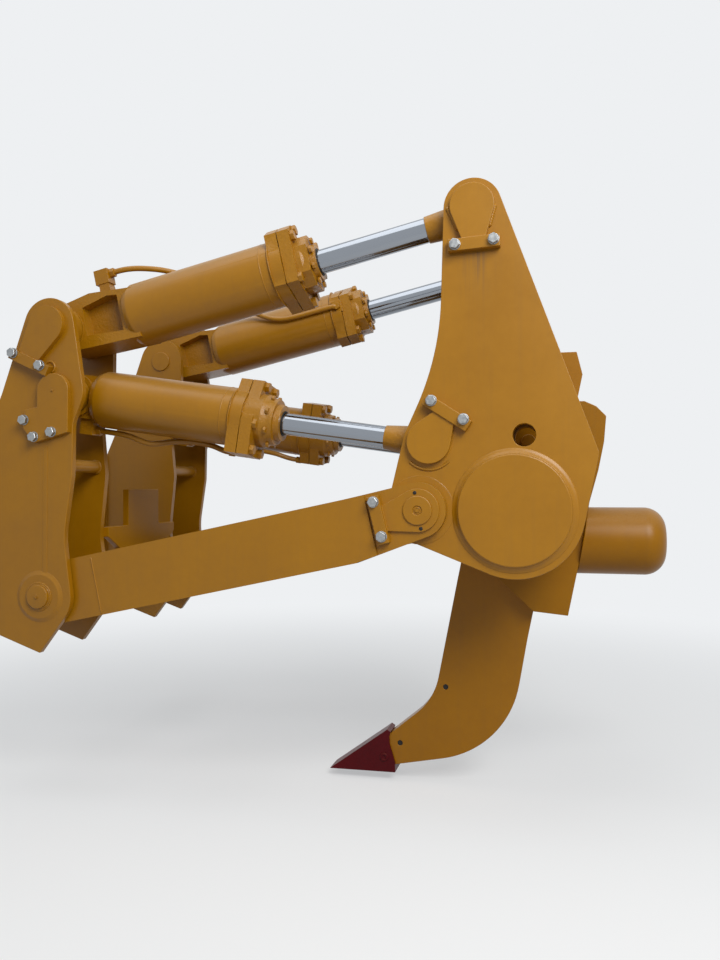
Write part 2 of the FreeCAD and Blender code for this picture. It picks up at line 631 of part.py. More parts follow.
def shank():
    """A thick flame-cut bar, straight where the pocket holds it, curved to its nose."""
    piece = body("shank", CARRIER)
    top = "shank_top"
    pad(piece, "shank_bar", (
        (f"{rear_at(top)} - {SHANK_ACROSS}", top),
        (f"{rear_at('-330')} - {SHANK_ACROSS}", "-330"),
        ("-290", "-715", "290", -1),
        ("-232", "-1043"),
        ("-400", "-1140"),
        ("-202", "-1180"),
        ("-71", "-714", "432", 1),
        (rear_at("-592"), "-592"),
        (rear_at(f"{top} - 100"), f"{top} - 100"),
        (f"{rear_at(top)} - 45", top),
    ), "-shank_thick / 2", "shank_thick / 2")
    for hole, x, z, radius in (("pin", "shank_pin_x", "shank_pin_z", "shank_pin_round"),
                               ("lower", "27", "-814", "12"), ("nose", "-183", "-1081", "12")):
        cut(piece, f"shank_{hole}_bore", circle(x, z, radius),
            "-shank_thick / 2 - 1", "shank_thick / 2 + 1")
    keep("shank", piece)
    pin = body("shank_pin", CARRIER)
    reach = "shank_thick / 2 + shank_gap + pocket_cheek + 30"
    pad(pin, "shank_pin_bar", circle("shank_pin_x", "shank_pin_z", "shank_pin_round"),
        f"-({reach})", reach)
    keep("shank_pin", pin)


def tip():
    """A wedge tooth over the shank's nose."""
    block = body("ripper_tip", CARRIER)
    pad(block, "tip_wedge", (
        ("-513", "-1216"), ("-203", "-1213"), ("-204", "-1170"), ("-229", "-1090"),
        ("-232", "-1052"), ("-224", "-1030"), ("-241", "-1019"), ("-262", "-1035"),
    ), "-tip_width / 2", "tip_width / 2")
    trim = body("tip_socket", CARRIER)
    pad(trim, "tip_socket_space", (
        ("-232", "-1043"), ("-400", "-1140"), ("-202", "-1180"), ("0", "-1180"), ("0", "-1000"),
        ("-200", "-1000"),
    ), "-shank_thick / 2", "shank_thick / 2")
    tooth = doc.addObject("Part::Cut", "ripper_tooth")
    tooth.Base, tooth.Tool = block, trim
    keep("ripper_tip", tooth)


def octagon(half, corner):
    """Rows of y and z for a square plate with cut corners."""
    z = f"({half} - {corner})"
    return ((f"-{half}", f"-{z}"), (f"-{z}", f"-{half}"), (z, f"-{half}"), (half, f"-{z}"),
            (half, z), (z, half), (f"-{z}", half), (f"-{half}", z))


# Head flanges, three corners of six: distance to the outer side of the machine and height.
# The other three lie opposite.
FLANGE_CORNERS = {
    "tilt": (("flange_side", "0.79 * flange_half"), ("flange_side", "-0.52 * flange_half"),
             ("-0.36 * flange_half", "-flange_half")),
    "lift": (("0.21 * flange_half", "flange_half"), ("flange_side", "-0.03 * flange_half"),
             ("flange_side", "-0.9 * flange_half")),
}


def flange_outline(kind, side):
    corners = [(f"{side} * ({y})", z) for y, z in FLANGE_CORNERS[kind]]
    return corners + [(f"-({y})", f"-({z})") for y, z in corners]


def end_plate(piece, name, outline, start, long):
    """A plate across the body's x axis."""
    solid = piece.newObject("PartDesign::Pad", name)
    solid.Profile = sketch(piece, name + "_outline", outline, start, "YZ_Plane")
    solid.setExpression("Length", given(long))
    return solid


def barrel(kind, name, side, frame, eye_width):
    """A cylinder barrel with its base eye, two head flanges and gland, open for the rod."""
    piece = body(f"{kind}_barrel_{name}", frame, side)
    label = f"{kind}_{name}"
    start, gland = f"{kind}_barrel_start", f"{kind}_gland_end"
    flange, tube = f"{kind}_flange_start", f"{kind}_barrel_round"
    behind = f"({flange} + 2 * flange_thick)"
    turned(piece, f"barrel_tube_{label}", (
        (start, "0"), (gland, "0"), (gland, "gland_mouth_round"),
        (f"{gland} - gland_step", "gland_mouth_round + 4"), (f"{gland} - gland_step", "gland_neck_round"),
        (f"{behind} + 45", "gland_neck_round + 6"), (f"{behind} + 25", "gland_round"),
        (f"{flange} + flange_thick", "gland_round"), (f"{flange} + flange_thick", tube),
        (f"{start} + 40", tube), (f"{start} + 12", f"{tube} - 12"), (start, f"{tube} - 40"),
    ))
    for plate, place_x in (("rear", flange), ("front", f"{flange} + flange_thick + flange_joint / 2")):
        end_plate(piece, f"{plate}_flange_{label}",
                  flange_outline(kind, side), place_x, "flange_thick - flange_joint / 2")
    half = f"{eye_width} / 2"
    if kind == "tilt":
        end_plate(piece, f"gland_{label}", octagon("gland_half", "gland_cut"),
                  f"{behind} - 5", f"{gland} - {behind} - 15")
        pad(piece, f"base_link_{label}", (
            ("0", "0", "base_eye_round", 1), ("90", "-104"), (f"{start} + 60", "-118"),
            (f"{start} + 60", "100"), ("150", "128"), ("20", "112"),
        ), f"-({half}) * 0.95", f"({half}) * 0.95")
        for way, mark in ((-1, "a"), (1, "b")):
            cut(piece, f"link_recess_{label}_{mark}", (
                ("104", "-50"), (f"{start} - 14", "-72"), (f"{start} - 14", "86"),
                (f"{start} - 60", "96"), ("104", "74"),
            ), *span(way, f"({half}) * 0.35", f"({half}) + 1"))
        pad(piece, f"port_block_{label}", (
            ("166", "90"), ("226", "90"), ("214", "190"), ("170", "190"),
        ), "-26", "26")
    else:
        pad(piece, f"base_neck_{label}", (
            ("0", "0", "base_eye_round", 1), (f"{start} + 60", "-95"), (f"{start} + 60", "95"),
        ), f"-({half}) * 0.8", f"({half}) * 0.8")
        pad(piece, f"port_block_{label}", box("28", "92", "-164", "-80"),
            "-40", "40")
    pad(piece, f"base_eye_{label}", circle("0", "0", "base_eye_round"), f"-({half})", half)
    cut(piece, f"base_bore_{label}", circle("0", "0", "base_pin_round + pin_gap"),
        f"-({half}) - 1", f"{half} + 1")
    foot, head = f"{start} + {kind}_foot_long", f"{gland} - {kind}_head_long"
    bush = f"{kind}_rod_round + pin_gap"
    turned(piece, f"barrel_bore_{label}", (
        (foot, "0"), (f"{gland} + 1", "0"), (f"{gland} + 1", bush),
        (head, bush), (head, f"{kind}_bore"), (foot, f"{kind}_bore"),
    ), takes=True)
    return keep(f"{kind}_barrel_{name}", piece)


def rod(kind, name, side, frame, long):
    """A chromed rod with its piston inside the barrel and its eye on the carrier."""
    piece = body(f"{kind}_rod_{name}", frame, side)
    label = f"{kind}_{name}"
    radius = f"{kind}_rod_round"
    piston, collar = f"{kind}_piston_place", f"{long} - rod_collar_long"
    behind = f"{piston} + {kind}_piston_long"
    turned(piece, f"rod_bar_{label}", (
        (piston, "0"), (f"{long} - 60", "0"), (f"{long} - 60", "rod_collar_round + 8"),
        (collar, f"{radius} + 4"), (collar, radius), (behind, radius),
        (behind, f"{kind}_bore - piston_gap"), (piston, f"{kind}_bore - piston_gap"),
    ))
    half = "rod_eye_width / 2"
    pad(piece, f"rod_eye_{label}", circle(long, "0", "rod_eye_round"), f"-{half}", half)
    cut(piece, f"rod_eye_bore_{label}", circle(long, "0", "rod_pin_round"),
        f"-{half} - 1", f"{half} + 1")
    keep(f"{kind}_rod_{name}", piece)
    pin = body(f"{kind}_rod_pin_{name}", frame, side)
    pad(pin, f"{kind}_rod_pin_bar_{name}", circle(long, "0", "rod_pin_round"),
        f"-{half} - 4", f"{half} + 4")
    keep(f"{kind}_rod_pin_{name}", pin)


def cylinders():
    for name, side in SIDES:
        for kind, frame, long in (("tilt", TILT, TILT_LONG), ("lift", LIFT, LIFT_LONG)):
            barrel(kind, name, side, frame, f"{kind}_eye_width")
            rod(kind, name, side, frame, long)


mount_plates()
brackets()
tie_plate()
bracket_pins()
bracket_caps()
link_arms()
carrier_pins()
carrier_plates()
drums()
rod_caps()
shank_pocket()
push_block()
shank()
tip()
cylinders()
doc.recompute()

for item in doc.Objects:
    if "Invalid" in item.State or "Error" in item.State:
        raise RuntimeError(f"{item.Name} is {item.State}")
os.makedirs("parts", exist_ok=True)
for label, solid in nodes.items():
    shape = solid.Shape
    if shape.isNull() or not shape.isValid() or not shape.Solids:
        raise RuntimeError(f"{label} has no valid shape")
    shape.exportStep(f"parts/{label}.step")
    print(label, len(shape.Solids), round(shape.Volume / 1e6, 2))
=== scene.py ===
import json
import math

import bmesh
import bpy
from mathutils import Matrix, Vector


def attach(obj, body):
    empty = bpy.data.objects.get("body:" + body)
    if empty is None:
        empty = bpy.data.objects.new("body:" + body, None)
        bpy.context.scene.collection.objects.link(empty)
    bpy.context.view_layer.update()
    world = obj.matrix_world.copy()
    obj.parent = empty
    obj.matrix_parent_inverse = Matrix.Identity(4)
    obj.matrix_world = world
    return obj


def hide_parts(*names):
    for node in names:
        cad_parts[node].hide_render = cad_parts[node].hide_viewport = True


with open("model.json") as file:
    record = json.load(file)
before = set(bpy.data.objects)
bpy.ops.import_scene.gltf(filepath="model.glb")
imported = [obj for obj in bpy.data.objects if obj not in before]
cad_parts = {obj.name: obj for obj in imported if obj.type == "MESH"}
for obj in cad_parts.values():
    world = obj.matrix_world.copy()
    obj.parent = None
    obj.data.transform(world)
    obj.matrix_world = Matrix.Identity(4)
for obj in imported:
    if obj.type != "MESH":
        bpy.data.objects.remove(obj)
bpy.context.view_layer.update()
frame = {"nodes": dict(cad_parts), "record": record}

nodes = frame["nodes"]

# Camera: it stands beside the ripper, 1.3 m above the floor, and is turned a little towards
# the mounting plates. Its place, its turn and its lens are worked out from the pins' places.
SENSOR = 36  # mm along the picture's height
FOCUS = 836 / 960  # focal length as a share of the picture's height
camera = bpy.data.objects.new("camera", bpy.data.cameras.new("camera"))
bpy.context.scene.collection.objects.link(camera)
camera.location = (2.477, -3.830, 0.201)
camera.rotation_euler = (math.radians(90.69), 0, math.radians(13.45))
camera.data.lens = FOCUS * SENSOR
camera.data.sensor_width = SENSOR
camera.data.clip_end = 200
bpy.context.scene.camera = camera
bpy.context.scene.view_settings.view_transform = "Standard"

# Floor and light: a pale studio floor just below the tip, a broad soft lamp overhead, a
# stronger one at the rear side of the ripper, and an even pale surround.


def linear(code):
    """A colour written as sRGB hex, as the linear values that a shader takes."""
    parts = [int(code[i:i + 2], 16) / 255 for i in (1, 3, 5)]
    return tuple(p / 12.92 if p <= 0.04045 else ((p + 0.055) / 1.055) ** 2.4
                 for p in parts) + (1,)


def node(tree, kind, settings=None, **links):
    """Adds a node. Each link names a socket, and is a value or another node's output; i0, i1
    and so on go by the socket's number, such as i6 and i7 for the two colours of a mix."""
    added = tree.nodes.new(kind)
    for name, value in (settings or {}).items():
        setattr(added, name, value)
    for name, value in links.items():
        key = int(name[1:]) if name[0] == "i" and name[1:].isdigit() else name.replace("_", " ")
        socket = added.inputs[key]
        if isinstance(value, bpy.types.NodeSocket):
            tree.links.new(value, socket)
        else:
            socket.default_value = value
    return added


def bare_material(name):
    """A new material and its node tree, which is still empty."""
    material = bpy.data.materials.new(name)
    material.use_nodes = True
    material.node_tree.nodes.clear()
    return material, material.node_tree


def pale_view(tree):
    """1 for a ray that shows the surround itself: to the camera, off metal or through glass."""
    path = node(tree, "ShaderNodeLightPath")
    seen = path.outputs["Is Camera Ray"]
    for ray in ("Is Glossy Ray", "Is Transmission Ray"):
        seen = node(tree, "ShaderNodeMath", {"operation": "MAXIMUM"}, i0=seen,
                    i1=path.outputs[ray]).outputs[0]
    return seen


backdrop = linear("#eef0f2")
stand = (1.5, 0.0, -1.129)  # middle of the ripper's length, on the floor
mesh = bpy.data.meshes.new("studio_floor")
bm = bmesh.new()
bmesh.ops.create_grid(bm, x_segments=1, y_segments=1, size=80)
bmesh.ops.translate(bm, verts=bm.verts, vec=stand)
bm.to_mesh(mesh)
bm.free()
floor = bpy.data.objects.new("studio_floor", mesh)
bpy.context.scene.collection.objects.link(floor)
floor_paint, tree = bare_material("studio_floor_paint")
# Near the object the floor is half lit and holds its shadow; from 1.2 m to 6 m away it fades
# into the surround, so that no horizon shows.
place = node(tree, "ShaderNodeTexCoord")
distance = node(tree, "ShaderNodeVectorMath", {"operation": "DISTANCE"},
                i0=place.outputs["Object"], i1=stand)
away = node(tree, "ShaderNodeMapRange", {"interpolation_type": "SMOOTHSTEP"},
            Value=distance.outputs["Value"], i1=1.2, i2=6.0, i3=0.5)
seen = pale_view(tree)
fade = node(tree, "ShaderNodeMath", {"operation": "MULTIPLY"},
            i0=away.outputs[0], i1=seen)
tint = node(tree, "ShaderNodeMix", {"data_type": "RGBA"}, i0=seen,
            i6=linear("#b4b0aa"), i7=linear("#f4f4f2"))
diffuse = node(tree, "ShaderNodeBsdfDiffuse", Color=tint.outputs[2])
glow = node(tree, "ShaderNodeEmission", Color=backdrop, Strength=1.0)
mixed = node(tree, "ShaderNodeMixShader", i0=fade.outputs[0], i1=diffuse.outputs[0],
             i2=glow.outputs[0])
node(tree, "ShaderNodeOutputMaterial", Surface=mixed.outputs[0])
mesh.materials.append(floor_paint)

world = bpy.data.worlds.new("studio")
bpy.context.scene.world = world
world.use_nodes = True
tree = world.node_tree
tree.nodes.clear()
seen = pale_view(tree)
lit = node(tree, "ShaderNodeBackground", Color=linear("#e9edf2"), Strength=0.28)
pale = node(tree, "ShaderNodeBackground", Color=backdrop, Strength=1.0)
mixed = node(tree, "ShaderNodeMixShader", i0=seen, i1=lit.outputs[0],
             i2=pale.outputs[0])
node(tree, "ShaderNodeOutputWorld", Surface=mixed.outputs[0])

# Name, place, the point it faces, width in metres and power in watts
for name, place, target, size, power in (
        ("sky_lamp", (0.5, -1.5, 6.5), (1.5, 0, 0), 5.0, 130),
        ("side_lamp", (4.6, -4.2, 3.6), (2.0, 0, 0.4), 3.0, 300)):
    lamp = bpy.data.objects.new(name, bpy.data.lights.new(name, "AREA"))
    lamp.data.energy = power
    lamp.data.size = size
    lamp.location = place
    lamp.rotation_euler = (Vector(target) - Vector(place)).to_track_quat("-Z", "Y").to_euler()
    bpy.context.scene.collection.objects.link(lamp)

# Brackets: four flame-cut plates of 30 mm, welded upright to two mounting plates, with
# spacer bars and a tie plate between them. Everything is sprayed in yellow enamel, two-pack
# polyurethane over shot-blasted steel, whose gloss shows a slight orange peel.


def enamel(name, colours, dusty=0.35, cast=0.0, streaks=None, marks="#7d5a2a", ior=1.46):
    """Sprayed enamel: shades of the coat, rain marks, dust on upper faces, and cast skin.
    It looks glossy and even from afar, cloudy and a little dusty from close by."""
    paint, tree = bare_material(name)
    where = node(tree, "ShaderNodeTexCoord")
    flat = where.outputs["Object"]
    # Shade of the coat: clouds of about 400 mm and finer mottling of about 30 mm
    cloud = node(tree, "ShaderNodeTexNoise", Vector=flat, Scale=2.5, Detail=3.0, Roughness=0.55)
    mottle = node(tree, "ShaderNodeTexNoise", Vector=flat, Scale=34.0, Detail=4.0)
    shade = node(tree, "ShaderNodeMath", {"operation": "MULTIPLY_ADD"},
                 i0=mottle.outputs["Fac"], i1=0.35, i2=cloud.outputs["Fac"])
    tone = node(tree, "ShaderNodeMapRange", Value=shade.outputs[0], i1=0.45, i2=0.95)
    base = node(tree, "ShaderNodeMix", {"data_type": "RGBA"}, i0=tone.outputs[0],
                i6=linear(colours[0]), i7=linear(colours[1]))
    # Rain marks: noise drawn out along the height, 26 mm wide and 750 mm long
    drawn = node(tree, "ShaderNodeMapping", Vector=flat, Scale=(1.0, 1.0, 0.035))
    run = node(tree, "ShaderNodeTexNoise", Vector=drawn.outputs[0], Scale=38.0, Detail=5.0,
               Roughness=0.6)
    runs = node(tree, "ShaderNodeMapRange", Value=run.outputs["Fac"], i1=0.5, i2=0.8, i4=0.16)
    amount = runs.outputs[0]
    if streaks:
        # Darker streaks of dirty water below a bar: its middle along X, half its width, and
        # the heights at which they start and end, in metres
        middle, half, top, low = streaks
        parts = node(tree, "ShaderNodeSeparateXYZ", Vector=flat)
        aside = node(tree, "ShaderNodeMath", {"operation": "SUBTRACT"},
                     i0=parts.outputs["X"], i1=middle)
        off = node(tree, "ShaderNodeMath", {"operation": "ABSOLUTE"}, i0=aside.outputs[0])
        across = node(tree, "ShaderNodeMapRange", Value=off.outputs[0], i1=half, i2=0.0)
        down = node(tree, "ShaderNodeMapRange", Value=parts.outputs["Z"], i1=low, i2=top)
        under = node(tree, "ShaderNodeMath", {"operation": "LESS_THAN"},
                     i0=parts.outputs["Z"], i1=top)
        fine = node(tree, "ShaderNodeTexNoise", Vector=drawn.outputs[0], Scale=85.0, Detail=2.0)
        thin = node(tree, "ShaderNodeMapRange", Value=fine.outputs["Fac"], i1=0.44, i2=0.62,
                    i4=0.95)
        for part in (across, down, under):
            thin = node(tree, "ShaderNodeMath", {"operation": "MULTIPLY"},
                        i0=thin.outputs[0], i1=part.outputs[0])
        amount = node(tree, "ShaderNodeMath", {"operation": "MAXIMUM"},
                      i0=amount, i1=thin.outputs[0]).outputs[0]
    washed = node(tree, "ShaderNodeMix", {"data_type": "RGBA"}, i0=amount,
                  i6=base.outputs[2], i7=linear(marks))
    # Dry pale dust on faces that look up, in specks of 6 mm
    turn = node(tree, "ShaderNodeNewGeometry")
    up = node(tree, "ShaderNodeSeparateXYZ", Vector=turn.outputs["Normal"])
    lying = node(tree, "ShaderNodeMapRange", Value=up.outputs["Z"], i1=0.3, i2=1.0, i4=dusty)
    speck = node(tree, "ShaderNodeTexNoise", Vector=flat, Scale=160.0, Detail=2.0)
    dusting = node(tree, "ShaderNodeMath", {"operation": "MULTIPLY"},
                   i0=lying.outputs[0], i1=speck.outputs["Fac"])
    coat = node(tree, "ShaderNodeMix", {"data_type": "RGBA"}, i0=dusting.outputs[0],
                i6=washed.outputs[2], i7=linear("#b8a27c"))
    gloss = node(tree, "ShaderNodeMapRange", Value=shade.outputs[0], i1=0.4, i2=1.0,
                 i3=0.30, i4=0.42)
    # Orange peel: ripples 3 mm across
    peel = node(tree, "ShaderNodeTexNoise", Vector=flat, Scale=300.0, Detail=1.0)
    relief = node(tree, "ShaderNodeBump", Strength=0.06, Distance=0.001,
                  Height=peel.outputs["Fac"])
    if cast:
        # Skin of a sand casting under the paint: lumps of 12 mm with finer grain on them
        lumps = node(tree, "ShaderNodeTexNoise", Vector=flat, Scale=85.0, Detail=3.0,
                     Roughness=0.65)
        relief = node(tree, "ShaderNodeBump", Strength=cast, Distance=0.003,
                      Height=lumps.outputs["Fac"], Normal=relief.outputs[0])
    shader = node(tree, "ShaderNodeBsdfPrincipled", Base_Color=coat.outputs[2],
                  Roughness=gloss.outputs[0], IOR=ior, Normal=relief.outputs[0])
    node(tree, "ShaderNodeOutputMaterial", Surface=shader.outputs[0])
    return paint


yellow = ("#9b6800", "#a77204")  # the darkest and the palest shade of the coat
plate_enamel = enamel("yellow_enamel_on_plate", yellow)
cast_enamel = enamel("yellow_enamel_on_casting", yellow, cast=0.8)
MM = Matrix.Scale(0.001, 4)  # new pieces are drawn in mm
body_of = {name: body for body, names in frame["record"]["behaviour"]["bodies"].items()
           for name in names}


def finished(piece, mesh, body, edge):
    """Puts a piece on its body and rounds its edges, with flat faces kept flat."""
    mesh.shade_smooth()
    bpy.context.scene.collection.objects.link(piece)
    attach(piece, body)
    if edge:
        rounded = piece.modifiers.new("rounded_edges", "BEVEL")
        rounded.width = edge
        rounded.segments = 2
        rounded.limit_method = "ANGLE"
        rounded.angle_limit = math.radians(28)
        weighted = piece.modifiers.new("even_shading", "WEIGHTED_NORMAL")
        weighted.keep_sharp = False
    return piece


def softened(name, edge, *finishes, zone=None, slot="frame_paint", stepped=False):
    """A copy of a node with its corners merged and its edges rounded by so many metres. With
    several finishes, zone tells a face's one from its middle. A stepped piece keeps its flat
    faces as triangles, or they would show dark wedges round its steps."""
    bm = bmesh.new()
    bm.from_mesh(nodes[name].data)
    bmesh.ops.remove_doubles(bm, verts=bm.verts, dist=1e-5)
    bmesh.ops.dissolve_limit(bm, angle_limit=math.radians(0.2), verts=bm.verts, edges=bm.edges)
    if stepped:
        bmesh.ops.triangulate(bm, faces=bm.faces)
    for face in bm.faces:
        face.material_index = zone(face.calc_center_median()) if zone else 0
    mesh = bpy.data.meshes.new(name + "_soft")
    bm.to_mesh(mesh)
    bm.free()
    for finish in finishes:
        mesh.materials.append(finish)
    piece = bpy.data.objects.new(name + "_soft", mesh)
    finished(piece, mesh, body_of[name], edge)
    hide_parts(name)
    return piece


def made(name, bm, finish, body, side="left", edge=0.0):
    """A new piece from a bmesh in mm, on the left side, the right side or both."""
    if side == "right":
        bmesh.ops.scale(bm, verts=bm.verts, vec=(1, -1, 1))
    if side == "both":
        bmesh.ops.mirror(bm, geom=bm.verts[:] + bm.edges[:] + bm.faces[:], axis="Y",
                         merge_dist=-1)
    bmesh.ops.transform(bm, verts=bm.verts, matrix=MM)
    bmesh.ops.recalc_face_normals(bm, faces=bm.faces)
    mesh = bpy.data.meshes.new(name)
    bm.to_mesh(mesh)
    bm.free()
    mesh.materials.append(finish)
    return finished(bpy.data.objects.new(name, mesh), mesh, body, edge)


RIPPLE = 9  # mm between the ripples of a weld
SWELL = 0.09  # height of a ripple as a share of the bead's radius
WELD_STEP = 3  # mm between the rings of a bead's mesh


def seam(bm, start, end, size=6.0):
    """A run of weld between two points: a round rippled bead with tapered ends."""
    start, end = Vector(start), Vector(end)
    along = end - start
    steps = max(3, round(along.length / WELD_STEP))
    turn = along.to_track_quat("Z", "Y").to_matrix().to_4x4()
    known = set(bm.verts)
    ring = bmesh.ops.create_circle(bm, segments=8, radius=size, cap_ends=True,
                                   matrix=Matrix.Translation(start) @ turn)["verts"]
    cap = [face for face in bm.faces if set(face.verts) == set(ring)]
    rim = [edge for face in cap for edge in face.edges]
    bmesh.ops.spin(bm, geom=ring + rim + cap, cent=start, axis=(0, 0, 1),
                   dvec=along / steps, angle=0, steps=steps)
    for vert in set(bm.verts) - known:
        reach = (vert.co - start).dot(along) / along.length
        centre = start + along.normalized() * reach
        swell = 1 + SWELL * math.cos(2 * math.pi * reach / RIPPLE)
        tip = min(1.0, 0.45 + min(reach, along.length - reach) / 12)
        vert.co = centre + (vert.co - centre) * swell * tip


def ring_seam(bm, centre, radius, size=6.0, start=0.0, sweep=360.0):
    """A weld bead round an axis that runs across the ripper, from start on by sweep degrees."""
    centre = Vector(centre)
    known = set(bm.verts)
    begin = math.radians(start)
    out = Vector((math.cos(begin), 0, math.sin(begin)))
    turn = Matrix.Rotation(-begin, 4, "Y")
    ring = bmesh.ops.create_circle(bm, segments=8, radius=size,
                                   matrix=Matrix.Translation(centre + out * radius) @ turn)
    edges = list({edge for vert in ring["verts"] for edge in vert.link_edges})
    steps = max(12, round(math.radians(sweep) * radius / WELD_STEP))
    bmesh.ops.spin(bm, geom=ring["verts"] + edges, cent=centre, axis=(0, -1, 0),
                   angle=math.radians(sweep), steps=steps, use_merge=sweep == 360.0)
    for vert in set(bm.verts) - known:
        flat = vert.co - centre
        angle = math.atan2(flat.z, flat.x)
        core = centre + Vector((math.cos(angle), 0, math.sin(angle))) * radius
        swell = 1 + SWELL * math.cos(angle * round(2 * math.pi * radius / RIPPLE))
        vert.co = core + (vert.co - core) * swell


for name in ("mount_plate_left", "mount_plate_right", "bracket_outer_left",
             "bracket_outer_right", "bracket_inner_left", "bracket_inner_right",
             "bracket_spacers"):
    softened(name, 0.003, plate_enamel)
# Painted shade: the tie plate, low between the brackets, gets a copy of the enamel with less
# pale dust and a duller gloss that mirrors less, standing in for the shade that falls between
# them
tie_plate_shade_enamel = enamel("yellow_enamel_painted_shade_on_tie_plate", yellow, dusty=0.15, ior=1.2)
softened("tie_plate", 0.003, tie_plate_shade_enamel)

# Fillet welds along both faces of each plate, and round the ends of a spacer bar
bm = bmesh.new()
for y in (692, 662, 367, 337):
    seam(bm, (40, -y, -385), (40, -y, 385), 7)
for y in (657, 373):
    ring_seam(bm, (398, -y, 307), 28, 5)
made("bracket_welds", bm, plate_enamel, "bracket", side="both")

# Each outer plate is thicker behind its mounting half, and the step between the two is ground
# to a low flat edge that runs up the plate.


def block(bm, low, high, place=Matrix()):
    """A square-edged bar between two corners, for edge rounding later."""
    low, high = Vector(low), Vector(high)
    middle, size = Matrix.Translation((low + high) / 2), Matrix.Diagonal((*(high - low), 1))
    bmesh.ops.create_cube(bm, size=1, matrix=place @ middle @ size)


bm = bmesh.new()
block(bm, (344, -694, -150), (364, -690, 384))
made("bracket_strips", bm, plate_enamel, "bracket", side="both", edge=0.0014)

# Link pins: 112 mm ground pins through the brackets, each closed by a domed cover with a
# grease plug in its middle.


def outward(x, y, z):
    """A place on the left side of the ripper whose +Z points away from it."""
    return Matrix.Translation((x, -y, z)) @ Matrix.Rotation(math.radians(90), 4, "X")


def turned(bm, place, outline, steps=48):
    """Spins rows of radius and height, closed into a ring or ending on the axis."""
    known = set(bm.verts)
    verts = [bm.verts.new((radius, 0, height)) for radius, height in outline]
    pairs = list(zip(verts, verts[1:]))
    if outline[0][0] > 0 and outline[-1][0] > 0:
        pairs.append((verts[-1], verts[0]))
    edges = [bm.edges.new(pair) for pair in pairs]
    bmesh.ops.spin(bm, geom=verts + edges, cent=(0, 0, 0), axis=(0, 0, 1),
                   angle=2 * math.pi, steps=steps, use_merge=True)
    grown = [vert for vert in bm.verts if vert not in known]
    bmesh.ops.remove_doubles(bm, verts=grown, dist=0.01)
    grown = [vert for vert in bm.verts if vert not in known]
    bmesh.ops.transform(bm, verts=grown, matrix=place)


def hexagon(bm, across, depth, place):
    """A hexagonal prism, so many mm across its flats, with its middle on its place."""
    bmesh.ops.create_cone(bm, cap_ends=True, segments=6, radius1=across / math.sqrt(3),
                          radius2=across / math.sqrt(3), depth=depth, matrix=place)


def plug(bm, place, across):
    """A hexagon plug in a shallow round seat, pointing along +Z of its place."""
    turned(bm, place, ((across * 0.95, -1), (across * 0.95, 1.5), (across * 0.85, 2.5),
                       (across * 0.6, 2.5), (across * 0.6, -1)), steps=24)
    hexagon(bm, across, 7, place @ Matrix.Translation((0, 0, 2)))


softened("link_pins", 0.004, plate_enamel, slot="pin_steel")
bm = bmesh.new()
turned(bm, outward(330, 706, -250),
       ((50, -4), (50, 5), (48.6, 8.6), (45, 10), (20, 11.4), (0, 12)))
plug(bm, outward(330, 717.5, -250), 11)
ring_seam(bm, (330, -700.5, -250), 58, 4)
# Ground fillet weld round the boss that the pin runs in
turned(bm, outward(330, 692, -250),
       ((91, -1), (91, 8.2), (94, 7.2), (99, 4.4), (105, 2), (109, 0.5), (109, -1)), steps=72)
made("link_pin_covers", bm, plate_enamel, "bracket", side="both", edge=0.001)

# Cylinder base pins and their caps: flame-cut covers of 26 mm with a keeper bar, each held to
# the outer plate by zinc-plated M24 bolts, put on after painting.


def zinc():
    """Zinc plate on steel bolts: pale bluish metal, dulled by its passivation."""
    plate, tree = bare_material("zinc_plated_steel")
    where = node(tree, "ShaderNodeTexCoord")
    # Passivation clouds 8 mm across, and grain drawn at 1.4 mm so that it shows
    clouds = node(tree, "ShaderNodeTexNoise", Vector=where.outputs["Object"], Scale=120.0,
                  Detail=3.0)
    dull = node(tree, "ShaderNodeMapRange", Value=clouds.outputs["Fac"], i1=0.3, i2=0.75,
                i3=0.3, i4=0.5)
    shade = node(tree, "ShaderNodeMix", {"data_type": "RGBA"}, i0=clouds.outputs["Fac"],
                 i6=linear("#85888b"), i7=linear("#b4b6b5"))
    fine = node(tree, "ShaderNodeTexNoise", Vector=where.outputs["Object"], Scale=700.0)
    relief = node(tree, "ShaderNodeBump", Strength=0.1, Distance=0.0005,
                  Height=fine.outputs["Fac"])
    shader = node(tree, "ShaderNodeBsdfPrincipled", Base_Color=shade.outputs[2], Metallic=1.0,
                  Roughness=dull.outputs[0], Normal=relief.outputs[0])
    node(tree, "ShaderNodeOutputMaterial", Surface=shader.outputs[0])
    return plate


def bolt(bm, place, across=36.0, washer=True):
    """A hexagon head on a washer, pointing along +Z of its place. Its height, its washer and
    its raised top follow from its width across flats, as they do on standard bolts."""
    base, high = 0.0, across * 0.42
    if washer:
        base, wide, bore = across * 0.11, across * 0.61, across * 0.3
        turned(bm, place, ((wide, -1), (wide, base - 0.6), (wide - 0.8, base), (bore, base),
                           (bore, -1)), steps=28)
    known = set(bm.verts)
    hexagon(bm, across, high, Matrix.Translation((0, 0, base + high / 2)))
    head = [vert for vert in bm.verts if vert not in known]
    top = [face for face in {f for vert in head for f in vert.link_faces}
           if face.calc_center_median().z > base + high * 0.9]
    bmesh.ops.inset_region(bm, faces=top, thickness=across * 0.07, depth=0)
    bmesh.ops.translate(bm, verts=list({vert for face in top for vert in face.verts}),
                        vec=(0, 0, across * 0.045))
    head = [vert for vert in bm.verts if vert not in known]
    bmesh.ops.transform(bm, verts=head, matrix=place)


zinc_plate = zinc()
for name in ("lift_base_pins", "tilt_base_pin_left", "tilt_base_pin_right"):
    softened(name, 0.002, plate_enamel, slot="pin_steel")
caps = softened("bracket_pin_caps", 0.003, plate_enamel)
